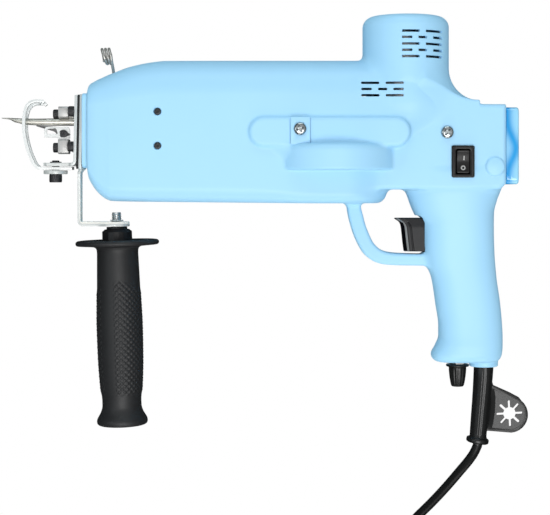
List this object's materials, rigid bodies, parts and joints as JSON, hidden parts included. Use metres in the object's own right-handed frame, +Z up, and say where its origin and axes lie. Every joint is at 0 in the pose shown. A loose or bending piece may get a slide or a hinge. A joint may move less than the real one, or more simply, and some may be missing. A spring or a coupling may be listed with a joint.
{
  "type": "tufting tool",
  "caption": "Hand-held electric tufting tool with pistol grip, motor hump, side handle, sliding needle with scissors and presser foot, on a coiled mains lead.",
  "frame": {"origin": "centre of the object's box without the lead, on the surface that it lies on", "axes": "+X from the needle towards the rear cover, +Y from the grips towards the motor hump, +Z up from the surface, towards the side with the rocker switch"},
  "size_m": [0.3502, 0.4688, 0.0874],
  "materials": {
    "body_blue": "moulded sky blue plastic, satin to semi-gloss",
    "cover_blue": "glossy deeper blue plastic",
    "black_plastic": "fine matt black plastic",
    "black_rubber": "dimpled soft black rubber",
    "black_cord": "smooth black cable sheath",
    "white_plastic": "natural acetal",
    "zinc_steel": "zinc plated pressed steel",
    "bright_steel": "ground steel",
    "black_screw": "black oxide steel",
    "dark_wire": "dark spring wire",
    "brass": "machined brass",
    "aluminium": "machined aluminium",
    "motor_steel": "drawn steel can",
    "copper_windings": "copper windings on laminated steel",
    "gasket": "thin black sheet",
    "board_green": "glass fibre circuit board"
  },
  "bodies": {
    "body": {"shell_near": "body_blue", "shell_far": "body_blue", "strap": "body_blue", "rear_cover": "cover_blue", "front_gasket": "gasket", "handle_bracket": "zinc_steel", "front_plate": "zinc_steel", "plate_screw_1": "black_screw", "plate_screw_2": "black_screw", "plate_screw_3": "black_screw", "plate_screw_4": "black_screw", "side_handle_core": "black_plastic", "side_handle_grip": "black_rubber", "handle_stud": "bright_steel", "handle_nut": "zinc_steel", "foot_washer": "zinc_steel", "foot_screw": "black_screw", "foot_nut": "zinc_steel", "guide_block": "aluminium", "guide_screw_1": "black_screw", "guide_screw_2": "black_screw", "yarn_spring": "dark_wire", "strap_screw": "bright_steel", "flank_screw": "bright_steel", "motor_can": "motor_steel", "motor_end_plate": "aluminium", "gear_shaft": "bright_steel", "gear_frame": "zinc_steel", "trigger_switch": "black_plastic", "control_board": "board_green", "speed_pot": "bright_steel", "rocker_housing": "black_plastic", "cord_boot": "black_rubber", "cord": "black_cord", "cord_tail": "black_cord", "cord_coil": "black_cord", "coil_tie": "black_plastic", "plug": "black_plastic"},
    "needle_carriage": {"needle_bar": "bright_steel", "scissor_bar": "bright_steel", "crosshead": "aluminium", "wrist_pin": "bright_steel", "needle_block": "zinc_steel", "needle_block_screw": "black_screw", "needle": "bright_steel", "scissor_block": "zinc_steel", "scissor_block_screw": "black_screw", "fixed_blade": "bright_steel", "blade_pivot_screw": "black_screw"},
    "scissor_blade": {"moving_blade": "bright_steel"},
    "foot": {"presser_foot": "zinc_steel"},
    "rotor": {"motor_rotor": "copper_windings", "pinion": "brass"},
    "crank": {"drive_gear": "white_plastic", "crank_pin": "bright_steel"},
    "rod": {"connecting_rod": "aluminium"},
    "trigger": {"trigger": "black_plastic"},
    "rocker": {"rocker": "black_plastic"},
    "speed_knob": {"speed_knob": "black_plastic"}
  },
  "joints": [
    {"name": "needle_slide", "type": "slide", "parent": "body", "child": "needle_carriage", "axis": [0.994, 0, 0.1097], "range_m": [0, 0.018]},
    {"name": "scissor_pivot", "type": "hinge", "parent": "needle_carriage", "child": "scissor_blade", "pos_m": [-0.13012, 0.05843, 0.02384], "axis": [-0.1097, 0, 0.994], "range_deg": [0, 10]},
    {"name": "foot_adjust", "type": "slide", "parent": "body", "child": "foot", "axis": [0.994, 0, 0.1097], "range_m": [-0.004, 0.003]},
    {"name": "crank_spin", "type": "hinge", "parent": "body", "child": "crank", "pos_m": [0.04988, 0.04223, 0.04371], "axis": [0, 1, 0], "continuous": true},
    {"name": "rotor_spin", "type": "hinge", "parent": "body", "child": "rotor", "pos_m": [0.0971, 0.08223, 0.04892], "axis": [0, 1, 0], "continuous": true},
    {"name": "rod_pivot", "type": "hinge", "parent": "crank", "child": "rod", "pos_m": [0.04094, 0.05123, 0.04272], "axis": [0, 1, 0], "continuous": true},
    {"name": "trigger_pull", "type": "slide", "parent": "body", "child": "trigger", "axis": [0.994, 0, 0.1097], "range_m": [0, 0.005], "stiffness_N_per_m": 600, "springref_m": -0.002},
    {"name": "rocker_tilt", "type": "hinge", "parent": "body", "child": "rocker", "pos_m": [0.13047, 0.03943, 0.07474], "axis": [0.994, 0, 0.1097], "range_deg": [0, 14]},
    {"name": "speed_turn", "type": "hinge", "parent": "body", "child": "speed_knob", "pos_m": [0.13169, -0.10277, 0.05274], "axis": [0, 1, 0], "range_deg": [0, 270]}
  ],
  "couplings": [
    {"joint": "rotor_spin", "follows": "crank_spin", "ratio": -4.8462},
    {"joint": "rod_pivot", "follows": "crank_spin", "ratio": -1},
    {"joint": "scissor_pivot", "follows": "needle_slide", "rad_per_m": 9.5023}
  ]
}
